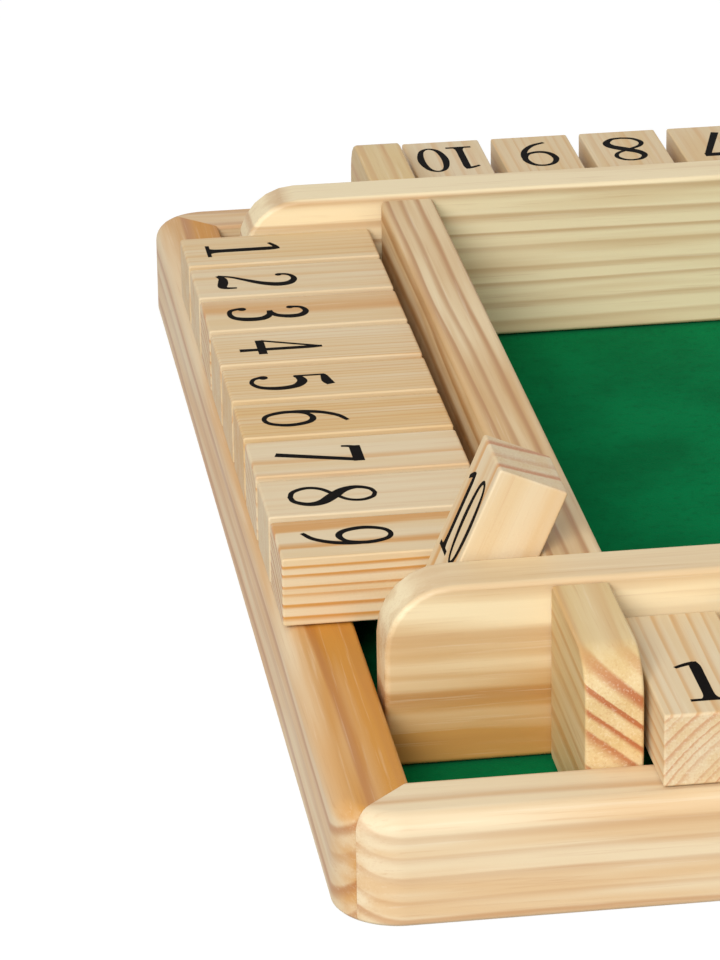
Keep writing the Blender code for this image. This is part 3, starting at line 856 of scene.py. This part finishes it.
# %% Digits as strokes
SIX = {"rings": [
        [(-3.4, 5.2, 1.25), (-2.2, 1.5, 1.0), (0.1, 0.4, 0.8), (2.4, 1.6, 1.0),
         (3.5, 5.0, 1.25), (2.5, 8.6, 1.2), (0.3, 9.9, 1.1), (-2.3, 8.7, 0.9)]],
    "curves": [
        [(-3.4, 4.6, 1.0), (-3.3, 8.0, 1.3), (-2.4, 11.6, 1.2), (-0.3, 14.7, 1.0),
         (2.6, 16.4, 0.7)]]}
STROKES = {
    "0": {"rings": [
        [(0, 16.4, 0.6), (-1.9, 14.4, 1.0), (-2.7, 8.4, 1.45), (-1.9, 2.4, 1.0),
         (0, 0.4, 0.6), (1.9, 2.4, 1.0), (2.7, 8.4, 1.45), (1.9, 14.4, 1.0)]]},
    "1": {"curves": [
        [(0.3, 0.35, 4.4), (0.3, 0.8, 3.0), (0.3, 1.7, 2.1), (0.3, 3.2, 1.8),
         (0.3, 6.6, 1.8), (0.3, 10.4, 1.8), (0.3, 13.6, 1.8), (0.1, 15.6, 1.3)],
        [(0.4, 15.1, 1.2), (-1.2, 14.7, 0.9), (-3.2, 13.7, 0.6)]],
        "lines": [[(-3.2, 0.4, 0.7), (3.8, 0.4, 0.7)]]},
    "2": {"curves": [
        [(-3.0, 13.2, 0.8), (-2.7, 14.9, 0.8), (-1.4, 16.0, 0.9), (0.6, 16.2, 1.2),
         (2.6, 14.9, 1.8), (3.1, 12.4, 2.0), (1.8, 9.2, 1.6), (-0.8, 5.8, 1.0),
         (-2.8, 3.2, 0.7), (-3.8, 0.6, 0.7)],
        [(-3.8, 0.5, 0.7), (-2.0, 1.4, 1.5), (0.4, 1.3, 2.0), (2.8, 0.95, 1.8),
         (3.8, 1.8, 1.0), (4.0, 3.8, 0.6)]],
        "balls": [(-2.7, 13.3, 0.7)]},
    "3": {"curves": [
        [(-2.7, 13.5, 0.9), (-2.1, 15.4, 0.9), (0.2, 16.2, 1.1), (2.3, 15.0, 1.6),
         (2.8, 12.7, 1.8), (1.9, 10.2, 1.4), (0.2, 9.0, 1.2), (-1.2, 8.8, 1.0)],
        [(-0.6, 8.8, 1.0), (1.4, 8.5, 1.3), (3.2, 6.8, 1.8), (3.3, 3.6, 1.9),
         (2.0, 1.2, 1.3), (-0.2, 0.5, 0.9), (-2.3, 1.0, 0.9), (-3.2, 3.1, 1.0)]],
        "balls": [(-2.5, 13.2, 0.75), (-2.8, 3.3, 0.9)]},
    "4": {"curves": [
        [(1.3, 0.1, 1.4), (1.3, 3.0, 1.2), (1.3, 7.0, 1.3), (1.3, 14.0, 1.3),
         (1.2, 16.8, 0.8)]],
        "lines": [
        [(-3.9, 4.6, 1.6), (3.9, 4.6, 1.6)],
        [(-3.7, 4.9, 0.6), (1.2, 16.5, 0.6)]]},
    "5": {"curves": [
        [(-2.8, 9.2, 0.8), (-1.6, 10.1, 1.5), (0.5, 10.3, 1.9), (2.7, 8.7, 1.7),
         (3.5, 5.4, 1.6), (2.6, 2.0, 1.2), (0.3, 0.4, 0.8), (-2.0, 0.9, 0.8),
         (-3.1, 2.8, 1.1)],
        [(-2.8, 14.8, 0.8), (-1.4, 15.0, 1.4), (0.8, 15.2, 1.9), (2.7, 15.8, 1.6)]],
        "lines": [[(-2.7, 9.0, 0.6), (-2.7, 15.1, 0.6)]],
        "balls": [(-2.7, 2.9, 0.95)]},
    "6": SIX,
    "7": {"curves": [[(-3.9, 13.2, 0.6), (-3.7, 14.5, 0.8), (-3.2, 15.5, 1.2)]],
        "lines": [
        [(-3.8, 15.7, 2.0), (3.9, 15.7, 2.0)],
        [(3.2, 15.4, 1.3), (-1.5, 0.3, 1.6)]]},
    "8": {"curves": [
        [(0.4, 16.4, 0.6), (-1.9, 15.6, 0.9), (-3.1, 13.2, 1.3), (-2.1, 10.6, 1.9),
         (0.5, 8.4, 2.3), (3.2, 6.0, 2.0), (3.8, 3.4, 1.5), (2.2, 1.0, 1.0),
         (-0.3, 0.4, 0.8)],
        [(0.3, 0.4, 0.8), (-2.4, 1.2, 0.9), (-4.0, 3.8, 1.0), (-3.2, 6.5, 0.9),
         (-0.3, 8.7, 0.8), (2.5, 10.9, 0.8), (3.2, 13.5, 0.9), (1.9, 15.7, 0.8),
         (-0.3, 16.4, 0.6)]]},
    "9": {kind: [[(-x, NUMBER_HEIGHT - y, width) for x, y, width in stroke]
             for stroke in strokes] for kind, strokes in SIX.items()},
}
print("digits drawn:", ", ".join(STROKES))

# %% [markdown]
# ## From strokes to plates
# Boolean union joins the strokes of a digit into one closed plate, so no ink lies twice in one
# place. A 10 is set from the other digits, with the 1 drawn together a little.

# %% Digits joined
FIRST_LAYER = {"curves": 0, "rings": 2, "lines": 3, "balls": 5}
# Each digit of a 10, how far from the middle it stands and how much it is drawn together.
TEN_LAYOUT = [("1", -3.6, 0.82), ("0", 3.5, 1.0)]


def joined(meshes):
    """The Boolean union of several closed meshes."""
    first = add_object("union", meshes[0])
    tools = []
    for mesh in meshes[1:]:
        tool = add_object("tool", mesh)
        tools.append(tool)
        union = first.modifiers.new("union", "BOOLEAN")
        union.operation = "UNION"
        union.solver = "EXACT"
        union.object = tool
    evaluated = first.evaluated_get(bpy.context.evaluated_depsgraph_get())
    result = bpy.data.meshes.new_from_object(evaluated)
    for helper in (first, *tools):
        bpy.data.objects.remove(helper)
    return result


def digit_mesh(digit):
    """All strokes of a digit, each in a layer of its own, as one plate."""
    parts = []
    for kind, first in FIRST_LAYER.items():
        for layer, stroke in enumerate(STROKES[digit].get(kind, []), first):
            if kind == "balls":
                parts.append(disc_mesh(*stroke, layer=layer))
            else:
                part = ribbon_mesh(stroke, kind == "rings", kind == "lines", layer)
                parts.append(part)
    return joined(parts)


digit_meshes = {digit: digit_mesh(digit) for digit in STROKES}
print("digits:", {digit: len(mesh.polygons) for digit, mesh in digit_meshes.items()})


def number_net(number):
    """Points in millimetres and faces of a whole number; ten has its two digits side by side."""
    layout = TEN_LAYOUT if number == 10 else [(str(number), 0, 1.0)]
    points, faces = [], []
    count = 0
    for digit, across, squeeze in layout:
        mesh = digit_meshes[digit]
        placed = mesh_points(mesh) * (squeeze, 1, 1 / THICKENED) + (across, 0, 0)
        faces += [[index + count for index in face.vertices] for face in mesh.polygons]
        points.append(placed)
        count += len(placed)
    return np.concatenate(points), faces


# %% [markdown]
# ## A row of tiles
# Each tile is placed about its rod, and the one that is shut at rest is first turned about it.
# The print is a piece of its own that rides with the tile. The wood of the tiles in plain view
# follows the photograph; the others are drawn from a seeded generator.

# %% Tiles and their numbers
PRINT_SCALE = 0.95
PRINT_HEIGHT = NUMBER_HEIGHT * PRINT_SCALE * MM
BASE_FROM_END = 4.5 * MM
TOP_FROM_END = 4.3 * MM
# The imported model's raised tile, and how far it is turned.
SHUT_AT_REST = "tile_left_10"
SHUT_TURN = -math.radians(113.53)
# Lowest and highest of what is drawn for a tile's wood.
PITH_AWAY = (0.03, 0.14)
PITH_FLATTENED = 0.6
RING_WIDTHS = (1.7, 4.4)
RING_CONTRASTS = (0.35, 0.8)
WARMTHS = (0.05, 0.45)
TILE_ALONG = (5, 9)
chance = np.random.default_rng(12)
TILE_WOOD = {
    "tile_left_01": ((-0.060, -0.02), (2.2 * MM, 0.40, 0.20)),
    "tile_left_02": ((-0.120, -0.05), (3.5 * MM, 0.35, 0.05)),
    "tile_left_03": ((-0.008, -0.0462), (2.2 * MM, 1.25, 0.15)),
    "tile_left_04": ((-0.100, -0.02), (1.5 * MM, 0.55, 0.15)),
    "tile_left_05": ((-0.130, 0.04), (1.4 * MM, 0.60, 0.35)),
    "tile_left_06": ((-0.110, -0.03), (1.5 * MM, 0.65, 0.60)),
    "tile_left_07": ((-0.016, -0.052), (2.4 * MM, 0.75, 0.0)),
    "tile_left_08": ((-0.140, -0.05), (3.0 * MM, 0.20, -0.05)),
    "tile_left_09": ((-0.012, -0.0545), (1.75 * MM, 1.45, 0.10)),
    "tile_left_10": ((-0.096, -0.028), (5.4 * MM, 0.95, -0.05)),
    "tile_front_01": ((0.030, -0.034), (1.6 * MM, 0.75, 0.10)),
}


def draw_wood():
    """A pith somewhere round the tile, a ring width, a contrast and a warmth."""
    angle = chance.uniform(0, 2 * math.pi)
    away = chance.uniform(*PITH_AWAY)
    pith = (away * math.cos(angle), away * math.sin(angle) * PITH_FLATTENED)
    ring_width = chance.uniform(*RING_WIDTHS) * MM
    contrast = chance.uniform(*RING_CONTRASTS)
    return pith, (ring_width, contrast, chance.uniform(*WARMTHS))


def swung(points, angle):
    """Turned about the x axis: y' = y cos a - z sin a, z' = y sin a + z cos a."""
    cosine, sine = math.cos(angle), math.sin(angle)
    across, inward, up = points[..., 0], points[..., 1], points[..., 2]
    return np.stack([across, inward * cosine - up * sine, inward * sine + up * cosine], -1)


def place_tile(points, node, side):
    """Swings a shut tile, moves it to its rod and turns its row."""
    low, high = row_box(node, side)
    if node == SHUT_AT_REST:
        points = swung(points, SHUT_TURN)
    along = np.array(((low[0] + high[0]) / 2, *rod[side][1:]))
    return turned(points + along, side)


def printed_faces(number):
    """The number on the top face, top inwards, and on the underside, top to the outer end."""
    points, faces = number_net(number)
    x, y = (points[:, :2] * PRINT_SCALE * MM).T
    rise = points[:, 2] * MM
    upper = np.stack([x, y - reach_out + BASE_FROM_END, rise + above_rod], -1)
    under = np.stack([x, PRINT_HEIGHT + TOP_FROM_END - reach_out - y, -rise - below_rod], -1)
    count = len(points)
    under_faces = [[index + count for index in face] for face in faces]
    return np.concatenate([upper, under]), faces + under_faces


for side in TURNS:
    for number in range(1, 11):
        node = f"tile_{side}_{number:02d}"
        wood = TILE_WOOD.get(node) or draw_wood()
        mesh = make_mesh(f"{node}_wood", tile_points, tile_faces)
        cut_from_log(mesh, 1, wood, chance.uniform(*TILE_ALONG))
        mesh.vertices.foreach_set("co", place_tile(mesh_points(mesh), node, side).ravel())
        even_shading(make_piece(f"{node}_wood", mesh, "tile_pine", node, node))
        points, faces = printed_faces(number)
        print_mesh = make_mesh(f"{node}_number", place_tile(points, node, side), faces)
        make_piece(f"{node}_number", print_mesh, "number_print", node)
print("tiles and numbers made")

# %% [markdown]
# ## Rods
# A rod is drawn wire with its ends ground to a small chamfer. It is a profile of radii carried
# round the axis, closed at both ends.

# %% Rods
ROD_RADIUS = 1.5 * MM
ROD_CHAMFER = 0.4 * MM
ROD_SIDES = 32
for side in TURNS:
    low, high = row_box(f"rod_{side}", side)
    along = np.array([low[0], low[0] + ROD_CHAMFER, high[0] - ROD_CHAMFER, high[0]])
    radii = np.array([ROD_RADIUS - ROD_CHAMFER, ROD_RADIUS, ROD_RADIUS, ROD_RADIUS - ROD_CHAMFER])
    angle = np.linspace(0, 2 * math.pi, ROD_SIDES, endpoint=False)
    ring = np.stack([np.cos(angle), np.sin(angle)], -1)
    across = radii[:, None, None] * ring + rod[side][1:]
    x = np.broadcast_to(along[:, None, None], (len(along), ROD_SIDES, 1))
    net = np.concatenate([x, across], -1)
    mesh = tube_mesh(f"steel_rod_{side}", turned(net, side))
    even_shading(make_piece(f"steel_rod_{side}", mesh, "rod_steel", "board", f"rod_{side}"))
print("rods made")

# %% [markdown]
# ## Felt and base
# The felt is one square piece laid on the base board, under the fences. Its top is a height
# field: the sum of two slow waves, for the way glued felt never lies dead flat. The base board
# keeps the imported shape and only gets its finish.

# %% Felt and base
FELT_CELLS = 150
FELT_WAVE = 0.07 * MM
FELT_WAVES = ((210, 95), (120, -260))
FELT_EDGE = 2 * MM
FELT_EDGE_DROP = 0.25 * MM
felt_low, felt_high = (np.array(corner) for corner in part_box("felt_lining"))


def felt_mesh():
    """Height = top + wave * (sin(ax + by) + sin(cx + dy)) / 2, falling to a rounded edge."""
    ticks = np.linspace(felt_low[0], felt_high[0], FELT_CELLS + 1)
    x, y = np.meshgrid(ticks, ticks, indexing="ij")
    wave = sum(np.sin(x * per_x + y * per_y) for per_x, per_y in FELT_WAVES) / 2
    edge = np.minimum(felt_high[0] - np.abs(x), felt_high[1] - np.abs(y))
    soft = np.clip(edge / FELT_EDGE, 0, 1)
    z = felt_high[2] - FELT_WAVE + FELT_WAVE * wave * soft - FELT_EDGE_DROP * (1 - soft) ** 2
    top = np.stack([x, y, z], -1)
    side = FELT_CELLS + 1
    index = np.arange(side * side).reshape(side, side)
    border = np.concatenate([index[0, :-1], index[:-1, -1], index[-1, :0:-1], index[:0:-1, 0]])
    below = top.reshape(-1, 3)[border].copy()
    below[:, 2] = felt_low[2]
    count = side * side
    around = np.arange(len(border))
    following = (around + 1) % len(border)
    walls = np.stack([border, border[following], count + following, count + around], -1)
    faces = net_faces(side, side, close_columns=False) + walls.tolist()
    faces.append((count + around).tolist())
    return make_mesh("felt", np.concatenate([top.reshape(-1, 3), below]), faces)


felt = make_piece("felt", felt_mesh(), "green_felt", "board", "felt_lining")
base_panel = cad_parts["base_panel"]
for slot in base_panel.material_slots:
    slot.material = finish["base_board"]

# %% [markdown]
# ## Floor, lamps and world
# The photograph is on plain white under very soft light. The floor gives the camera nearly full
# white by itself and only a little by the lamps, so it is white in the open and keeps a faint
# shadow by the frame. One large lamp above the front left does the modelling, and the world
# fills the rest at a level where a colour renders about as it is written.

# %% Floor, lamps and world
FLOOR_HALF = 3.0
FLOOR_DROP = 0.1 * MM
FLOOR_GLOW = 0.84
FLOOR_SHOWN = 0.22
FLOOR_SOLID = 0.40
WORLD_FILL = 0.50
KEY_PLACE = Vector((-0.80, -1.55, 1.00))
KEY_SIZE = 0.9
KEY_WATTS = 32.0


def seen_directly(tree):
    """1 for camera, glossy and transmission rays, else 0."""
    rays = [tree.node("LightPath", None, None, name)
            for name in ("Is Camera Ray", "Is Glossy Ray", "Is Transmission Ray")]
    return tree.sum("MAXIMUM", tree.sum("MAXIMUM", rays[0], rays[1]), rays[2])


def grey(level):
    """A neutral colour in linear values."""
    return (level, level, level, 1)


white = grey(1)
square = np.array([(-1, -1), (1, -1), (1, 1), (-1, 1)]) * FLOOR_HALF
floor_points = np.concatenate([square, np.full((4, 1), -FLOOR_DROP)], -1)
floor_mesh = make_mesh("floor", floor_points, [[0, 1, 2, 3]])
floor = add_object("floor", floor_mesh)
floor_material, _, tree = new_material("pale_floor", 1.0)
glow = tree.node("Emission", None, {"Color": white, "Strength": FLOOR_GLOW})
thin = tree.node("BsdfDiffuse", None, {"Color": grey(FLOOR_SHOWN)})
solid = tree.node("BsdfDiffuse", None, {"Color": grey(FLOOR_SOLID)})
shown = tree.node("AddShader", None, {0: glow, 1: thin})
mixed = tree.node("MixShader", None, {0: seen_directly(tree), 1: solid, 2: shown})
output = floor_material.node_tree.nodes["Material Output"]
floor_material.node_tree.links.new(mixed.socket, output.inputs["Surface"])
floor_mesh.materials.append(floor_material)

world = bpy.data.worlds.new("studio")
bpy.context.scene.world = world
world.use_nodes = True
tree = Wire(world.node_tree)
fill = tree.node("Background", None, {"Color": white, "Strength": WORLD_FILL})
backdrop = tree.node("Background", None, {"Color": white, "Strength": 1.0})
mixed = tree.node("MixShader", None, {0: seen_directly(tree), 1: fill, 2: backdrop})
output = world.node_tree.nodes["World Output"]
world.node_tree.links.new(mixed.socket, output.inputs["Surface"])

key = add_object("key_lamp", bpy.data.lights.new("key_lamp", "AREA"))
key.data.size = KEY_SIZE
key.data.energy = KEY_WATTS
key.matrix_world = aim(KEY_PLACE, (-KEY_PLACE).normalized())
print("lit")
